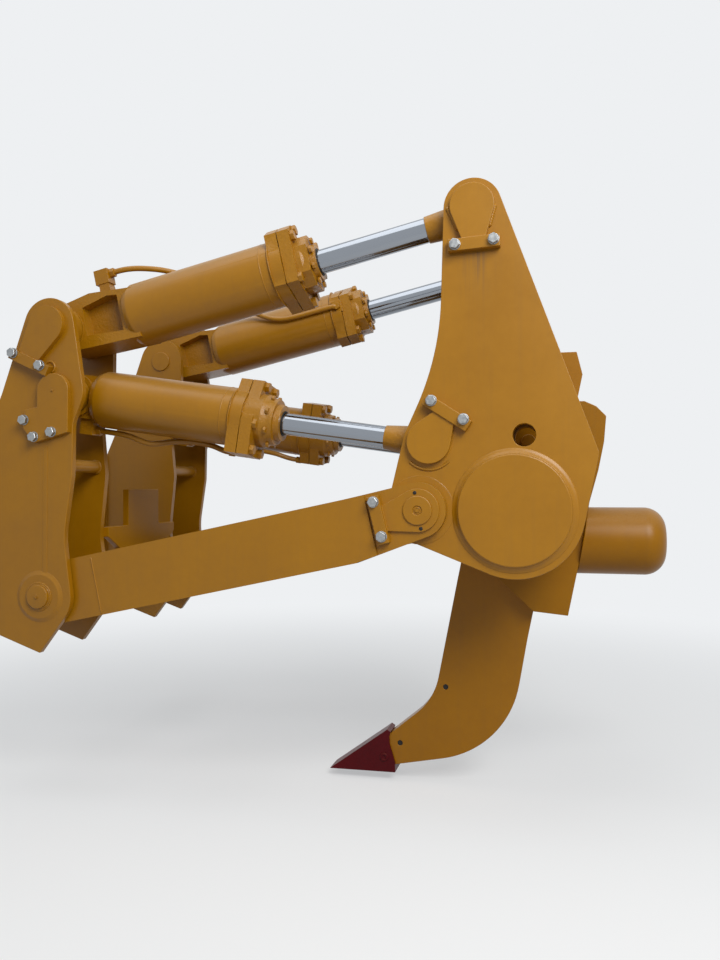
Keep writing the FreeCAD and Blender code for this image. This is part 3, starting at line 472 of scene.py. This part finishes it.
# The lower covers come off this copy; the new ones have a round top, a straight side and a lug
pin_x, pin_z, cover_radius = 0.402, 0.619, 0.076
bm = bmesh.new()
bm.from_mesh(caps.data)
lower = [vert for vert in bm.verts if vert.co.z < pin_z + 0.001 or
         abs(math.hypot(vert.co.x - pin_x, vert.co.z - pin_z) - cover_radius) < 0.001]
bmesh.ops.delete(bm, geom=lower, context="VERTS")
bm.to_mesh(caps.data)
bm.free()
bm = bmesh.new()
corners = [bm.verts.new((x, -691, z)) for x, z in (
    (328, 693), (476, 693), (474, 443), (313, 400), (262, 464), (271, 541), (328, 552))]
bm.faces.new(corners)
top_round = 73.9  # just under half the top's width, so that its two corners make one arc
bmesh.ops.bevel(bm, geom=corners[:2], offset=top_round, segments=20, affect="VERTICES",
                profile=0.5, material=-1)
raised = bmesh.ops.extrude_face_region(bm, geom=bm.faces[:])["geom"]
bmesh.ops.translate(bm, verts=[part for part in raised if isinstance(part, bmesh.types.BMVert)],
                    vec=(0, -27, 0))
made("lift_pin_covers", bm, plate_enamel, "bracket", side="both", edge=0.003)
# Each bolt's head stopped at an angle of its own when it was tightened
bm = bmesh.new()
for x, face, z in ((220, 726, 783), (349, 726, 726), (269, 718, 498), (316, 718, 426),
                   (400, 718, 445)):
    bolt(bm, outward(x, face, z) @ Matrix.Rotation(x * 0.7, 4, "Z"))
made("bracket_cap_bolts", bm, zinc_plate, "bracket", "both", 0.0006)
# Weld beads beside the upper covers and above the lower ones, and a small grease plug in these
bm = bmesh.new()
seam(bm, (303, -693, 962), (272, -693, 880), 6)
ring_seam(bm, (374, -693, 722), 24, 5, -60, 230)
plug(bm, outward(402, 718, 619), 5)
made("bracket_cap_welds", bm, plate_enamel, "bracket", side="both")

# Link arms: welded box arms, closed at the front by thick eye plates around the link pin and
# at the rear by an eye that a keeper ring and bar hold on the carrier pin.
for name in ("link_arm_left", "link_arm_right"):
    softened(name, 0.003, plate_enamel, stepped=True)
softened("link_cross_tube", 0.004, plate_enamel)
softened("arm_keepers", 0.0025, plate_enamel)
softened("carrier_pins", 0.003, plate_enamel, slot="pin_steel")
# Butt weld between eye plate and box, and fillets round the cross tube's ends
bm = bmesh.new()
seam(bm, (549, -656.5, -84), (600, -656.5, -318), 3.5)
for y in (564, 572):
    ring_seam(bm, (915, -y, -115), 95, 8)
made("arm_welds", bm, plate_enamel, "link", side="both")

REAR_PIN = (1943.56, 122.52)  # X and Z of the pins between arms and carrier, in mm


def by_rear_pin(x, y, z):
    """The same as outward, with X and Z counted from the middle of the pin."""
    return outward(REAR_PIN[0] + x, y, REAR_PIN[1] + z)


bm = bmesh.new()
for x, z in ((-169, 32), (-136, -101)):
    bolt(bm, by_rear_pin(x, 677, z) @ Matrix.Rotation(x * 0.3, 4, "Z"))
made("arm_keeper_bolts", bm, zinc_plate, "link", "both", 0.0006)
bm = bmesh.new()
turned(bm, by_rear_pin(0, 657, 0), ((57, -3), (57, 3), (54, 5.5), (19, 5.5), (17, 1), (0, 1)))
plug(bm, by_rear_pin(0, 658, 0), 15)
made("carrier_pin_covers", bm, plate_enamel, "link", "both", 0.0008)

# Carrier: two pairs of tall flame-cut plates of 45 mm, joined by bent webs and by a drum whose
# capped ends are set through the outer plates with a broad, ground fillet weld.
keeper_streaks = (2.168, 0.085, 1.118, 0.88)
carrier_enamel = enamel("yellow_enamel_on_carrier", yellow, streaks=keeper_streaks)
for name in ("carrier_outer_left", "carrier_outer_right"):
    softened(name, 0.003, carrier_enamel)
for name in ("carrier_inner_left", "carrier_inner_right", "carrier_webs"):
    softened(name, 0.003, plate_enamel)
softened("drum", 0.007, plate_enamel)
softened("carrier_hubs", 0.0025, plate_enamel, slot="hub_steel")
bm = bmesh.new()
turned(bm, by_rear_pin(365, 600, 0),
       ((215, -1), (215, 17), (219, 14), (225, 7.5), (232, 3.6), (238, 2), (239.5, 0.6),
        (239.5, -1)), steps=96)
made("drum_welds", bm, plate_enamel, "carrier", side="both")

# Rod pin caps on the carrier: flame-cut covers with keeper bars, as on the brackets, each bar
# held by two of the same zinc-plated bolts. Short weld beads run beside the covers.
softened("carrier_pin_caps", 0.003, plate_enamel)
bm = bmesh.new()
for x, z in ((143, 1022), (291, 1033), (51, 424), (175, 350)):
    bolt(bm, by_rear_pin(x, 634, z) @ Matrix.Rotation(x * 0.5, 4, "Z"))
made("carrier_cap_bolts", bm, zinc_plate, "carrier", "both", 0.0006)
bm = bmesh.new()
seam(bm, (2052, -601, 1302), (2098, -601, 1206), 9)
seam(bm, (2238, -601, 1300), (2214, -601, 1212), 9)
ring_seam(bm, (REAR_PIN[0] + 38, -600, REAR_PIN[1] + 266), 108, 6, 225, 90)
made("carrier_cap_welds", bm, plate_enamel, "carrier", side="both")

# Shank and its pocket: the shank is one flame-cut plate of 90 mm, held in a welded pocket by a
# pin; the push block behind it is a forged round bar with a domed end.

# Painted shade: the pocket, its pin and the push block get a deeper, slightly duller copy of
# the coat, standing in for the shade under the carrier plates
pocket_shade_enamel = enamel("yellow_enamel_painted_shade_on_pocket", ("#8d5c00", "#986502"), ior=1.32)
for name in ("shank_pocket", "shank_pin", "push_block"):
    softened(name, 0.004, pocket_shade_enamel)
shank_enamel = enamel("yellow_enamel_on_shank", ("#9a6500", "#a56e04"), cast=0.12, ior=1.36)
softened("shank", 0.006, shank_enamel)

# Painted shade: discs of moulded black nitrile rubber, set a little below the surface, stand in
# for the dark hollows of the shank's two tapped lifting holes and of the two oil holes beside
# each rear pin.


def rubber():
    """Moulded black nitrile rubber with a satin skin, also used for the dark discs of painted
    shade in holes.
    """
    skin, tree = bare_material("nitrile_rubber_and_hole_shade")
    where = node(tree, "ShaderNodeTexCoord")
    # Grease film and dust in patches 15 mm across
    film = node(tree, "ShaderNodeTexNoise", Vector=where.outputs["Object"], Scale=66.0,
                Detail=3.0)
    shade = node(tree, "ShaderNodeMix", {"data_type": "RGBA"}, i0=film.outputs["Fac"],
                 i6=linear("#0e0d0c"), i7=linear("#221f1c"))
    dull = node(tree, "ShaderNodeMapRange", Value=film.outputs["Fac"], i3=0.45, i4=0.7)
    shader = node(tree, "ShaderNodeBsdfPrincipled", Base_Color=shade.outputs[2],
                  Roughness=dull.outputs[0], IOR=1.4)
    node(tree, "ShaderNodeOutputMaterial", Surface=shader.outputs[0])
    return skin


black_rubber_and_hole_shade = rubber()
bm = bmesh.new()
for x, z in ((27, -814), (-183, -1081)):
    turned(bm, by_rear_pin(x, 45, z), ((12.6, -12), (12.6, -3.5), (10, -4.5), (0, -5)),
           steps=20)
made("shank_hole_shade_discs", bm, black_rubber_and_hole_shade, "carrier", side="both")
# Painted shade: dark rubber discs in the two oil holes beside each rear pin
bm = bmesh.new()
for x, z in ((-10, 68), (14, -70)):
    turned(bm, by_rear_pin(x, 655, z), ((7.5, -2), (7.5, 0.6), (6, 1.4), (0, 1.6)), steps=20)
made("keeper_hole_shade_discs", bm, black_rubber_and_hole_shade, "link", side="both")

# Tip: a cast alloy steel tooth pinned to the shank's toe and dipped in dark red primer. The
# thin coat is duller than the enamel, so it mirrors less.
red_primer = enamel("red_primer_on_casting", ("#4d040c", "#5c0a12"), dusty=0.1, cast=0.6,
                    marks="#5e1a1c", ior=1.24)
softened("ripper_tip", 0.005, red_primer, slot="tip_paint")
bm = bmesh.new()
turned(bm, outward(1689, 60, -1023),
       ((19, -3), (19, 4), (16.5, 7), (11, 7), (9, 2), (0, 2)), steps=32)
made("tip_pin", bm, red_primer, "carrier", "both", 0.0008)

# Cylinder barrels: drawn tube with a welded base link of cast steel. Two flanges bolted face
# to face clamp the gland, and a rubber wiper seals the rod where it comes out.

# Base pin's X and Z, rise in degrees, and in mm: where tube, flange, gland's end, gland's
# bolts and rod's eye come along the axis, and the radii of tube, rod and gland's bolt circle
CYLINDERS = {
    "tilt": {"pin": (366, 900), "rise": 12.5579, "tube": 291, "flange": 985, "gland": 1166,
             "bolts": 1151, "eye": 1828.3, "tube_r": 137, "rod_r": 50, "bolts_r": 92},
    "lift": {"pin": (402, 619), "rise": -8.3017, "tube": 85, "flange": 753, "gland": 955,
             "bolts": 903, "eye": 1596.2, "tube_r": 125, "rod_r": 45, "bolts_r": 104},
}
AXIS_Y = 480  # mm from the ripper's middle to the cylinders' axes


def along(kind, reach, aside, rise):
    """A place in a left cylinder's own frame: +X along it, +Y inwards, +Z up."""
    pin, angle = CYLINDERS[kind]["pin"], CYLINDERS[kind]["rise"]
    return (Matrix.Translation((pin[0], -AXIS_Y, pin[1]))
            @ Matrix.Rotation(math.radians(-angle), 4, "Y")
            @ Matrix.Translation((reach, aside, rise)))


def reach_of(kind, point):
    """How far along a cylinder a point in metres lies, in mm."""
    pin, angle = CYLINDERS[kind]["pin"], math.radians(CYLINDERS[kind]["rise"])
    x, z = point.x * 1000 - pin[0], point.z * 1000 - pin[1]
    return x * math.cos(angle) + z * math.sin(angle)


# The six bolts of a flange, beside and above the axis
FLANGE_BOLTS = {
    "tilt": ((-96, 108), (-48, 144), (-104, -72), (96, -108), (48, -144), (104, 72)),
    "lift": ((-103, -20), (-96, -128), (8, -142), (103, 20), (96, 128), (-8, 142)),
}
FLANGES_THICK = 105  # mm, both flanges together
FLANGE_HEAD, GLAND_HEAD = 38, 25  # mm across the flats of their bolts' heads
facing = Matrix.Rotation(math.radians(90), 4, "Y")  # turns +Z along the cylinder
for kind, size in CYLINDERS.items():
    tube, flange, rod = size["tube"], size["flange"], size["rod_r"]
    for side in ("left", "right"):
        # The drawn tube is smooth, and the base link, flanges and gland have a cast skin
        softened(f"{kind}_barrel_{side}", 0.004, plate_enamel, cast_enamel, zone=lambda spot:
                 0 if tube + 30 < reach_of(kind, spot) < flange - 5 and
                 abs(abs(spot.y) * 1000 - AXIS_Y) < 140 else 1)
        bm = bmesh.new()
        for y, z in FLANGE_BOLTS[kind]:
            bolt(bm, along(kind, flange + FLANGES_THICK, y, z) @ facing, FLANGE_HEAD, False)
        for turn in range(8):
            around, out = math.radians(22.5 + 45 * turn), size["bolts_r"]
            bolt(bm, along(kind, size["bolts"], out * math.cos(around),
                           out * math.sin(around)) @ facing, GLAND_HEAD, False)
        made(f"{kind}_flange_bolts_{side}", bm, plate_enamel, f"{kind}_barrel_{side}",
             side, 0.001)
        bm = bmesh.new()
        turned(bm, along(kind, size["gland"], 0, 0) @ facing,
               ((rod + 0.6, -6), (rod + 0.6, 3), (rod + 3, 4.5), (rod + 7, 3.5), (rod + 8, 1),
                (rod + 8, -6)))
        made(f"{kind}_rod_wiper_{side}", bm, black_rubber_and_hole_shade, f"{kind}_barrel_{side}",
             side)
        # Fillet weld between tube and flange, and a flat butt weld 42 mm before it
        bm = bmesh.new()
        skin = size["tube_r"]
        turned(bm, along(kind, flange, 0, 0) @ facing,
               ((skin - 2, -9), (skin + 1, -8), (skin + 3, -5), (skin + 8, -1.5),
                (skin + 9, 1), (skin - 2, 1)), steps=72)
        turned(bm, along(kind, flange - 42, 0, 0) @ facing,
               ((skin - 2, -3), (skin + 0.4, -2.4), (skin + 1.2, 0), (skin + 0.4, 2.4),
                (skin - 2, 3)), steps=72)
        made(f"{kind}_barrel_welds_{side}", bm, plate_enamel, f"{kind}_barrel_{side}",
             side)

# Steel oil pipes: drawn tube of 25 mm, bent cold and painted with the cylinder. Each runs from
# the port block at the base to the flanges at the head, held by a hexagon nut at each end.
PIPE_RADIUS = 0.0125
PIPES = {  # reach, aside and rise in mm, in the cylinder's own frame
    "tilt": ((215, 0, 222), (262, 4, 226), (330, 24, 222), (400, 52, 206), (450, 76, 190),
             (510, 108, 162), (580, 130, 116), (650, 146, 66), (720, 152, 38),
             (800, 152, 32), (900, 152, 32), (975, 152, 32), (1010, 150, 32), (1020, 140, 32),
             (1020, 118, 32)),
    "lift": ((60, 0, -140), (110, 0, -140), (200, 0, -141), (250, 2, -145), (300, 4, -158),
             (345, 12, -167), (390, 30, -158), (450, 52, -138), (540, 66, -130),
             (620, 60, -134), (680, 34, -148), (720, 14, -152), (760, 8, -150)),
}
for kind, route in PIPES.items():
    for side in ("left", "right"):
        flip = Matrix.Scale(-1 if side == "right" else 1, 4, (0, 1, 0))
        curve = bpy.data.curves.new(f"{kind}_oil_pipe_{side}", "CURVE")
        curve.dimensions = "3D"
        curve.bevel_depth = PIPE_RADIUS
        curve.bevel_resolution = 4
        curve.use_fill_caps = True
        run = curve.splines.new("NURBS")
        run.points.add(len(route) - 1)
        for point, spot in zip(run.points, route):
            point.co = (*(MM @ flip @ along(kind, *spot).translation), 1)
        run.order_u = 3
        run.use_endpoint_u = True
        run.resolution_u = 8
        curve.materials.append(plate_enamel)
        piece = bpy.data.objects.new(f"{kind}_oil_pipe_{side}", curve)
        bpy.context.scene.collection.objects.link(piece)
        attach(piece, f"{kind}_barrel_{side}")
        bm = bmesh.new()
        if kind == "tilt":
            # The elbow on the port block, and the port boss on the inner side of the flange
            block(bm, (156, -30, 176), (222, 30, 242), along(kind, 0, 0, 0))
            block(bm, (994, 118, 2), (1046, 136, 62), along(kind, 0, 0, 0))
            inwards = Matrix.Rotation(math.radians(-90), 4, "X")
            ends = ((along(kind, 222, 0, 222) @ facing, 36),
                    (along(kind, 1020, 134, 32) @ inwards, 34))
        else:
            ends = ((along(kind, 92, 0, -140) @ facing, 36),
                    (along(kind, 728, 12, -151) @ facing, 34))
        for place, across in ends:
            hexagon(bm, across, 24, place @ Matrix.Translation((0, 0, 10)))
        made(f"{kind}_pipe_nuts_{side}", bm, plate_enamel, f"{kind}_barrel_{side}",
             side, 0.0014)

# Cylinder rods: hard chrome on ground steel, mirror-bright under a thin film of oil. The eye
# and collar at the end are cast, welded on, and painted with the rest.


def chrome():
    """Hard chrome plate over ground steel: a cool, nearly mirror-bright metal."""
    plate, tree = bare_material("hard_chrome")
    where = node(tree, "ShaderNodeTexCoord")
    # Oil smears 70 mm across, and the ground steel's grain, drawn at 2.4 mm so that it shows
    smear = node(tree, "ShaderNodeTexNoise", Vector=where.outputs["Object"], Scale=14.0,
                 Detail=4.0)
    dull = node(tree, "ShaderNodeMapRange", Value=smear.outputs["Fac"], i1=0.35, i2=0.8,
                i3=0.07, i4=0.2)
    fine = node(tree, "ShaderNodeTexNoise", Vector=where.outputs["Object"], Scale=420.0)
    relief = node(tree, "ShaderNodeBump", Strength=0.03, Distance=0.0005,
                  Height=fine.outputs["Fac"])
    shader = node(tree, "ShaderNodeBsdfPrincipled", Base_Color=linear("#9499a0"), Metallic=1.0,
                  Roughness=dull.outputs[0], Normal=relief.outputs[0])
    node(tree, "ShaderNodeOutputMaterial", Surface=shader.outputs[0])
    return plate


hard_chrome = chrome()
COLLAR = 195  # mm from the middle of the eye to where the chrome starts
for kind, size in CYLINDERS.items():
    for side in ("left", "right"):
        softened(f"{kind}_rod_{side}", 0.002, hard_chrome, cast_enamel, slot="rod_steel",
                 zone=lambda spot: 0 if reach_of(kind, spot) < size["eye"] - COLLAR else 1)
        softened(f"{kind}_rod_pin_{side}", 0.002, plate_enamel, slot="pin_steel")
